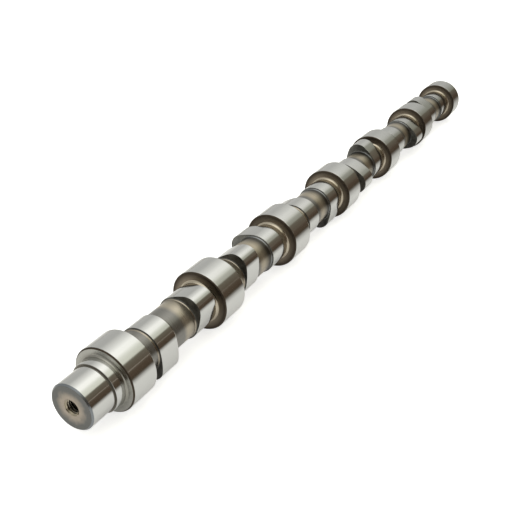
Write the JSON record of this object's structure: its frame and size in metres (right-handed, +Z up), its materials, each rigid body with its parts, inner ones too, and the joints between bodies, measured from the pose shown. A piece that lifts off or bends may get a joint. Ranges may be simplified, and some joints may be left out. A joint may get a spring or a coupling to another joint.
{
  "type": "camshaft",
  "caption": "Solid steel camshaft for a long engine: ground bearing journals, pairs of rounded cam lobes between them, and a plain nose with a threaded hole.",
  "frame": {"origin": "centre of the nose's end face, on the shaft's axis", "axes": "+X along the shaft from the nose to the last journal, +Z up with the shaft lying as the picture shows it"},
  "size_m": [0.8895, 0.0598, 0.06],
  "materials": {
    "ground_steel": "ground journals and lobes, darker heat-treated sides and core"
  },
  "bodies": {
    "root": {"camshaft": "ground_steel"}
  },
  "joints": []
}
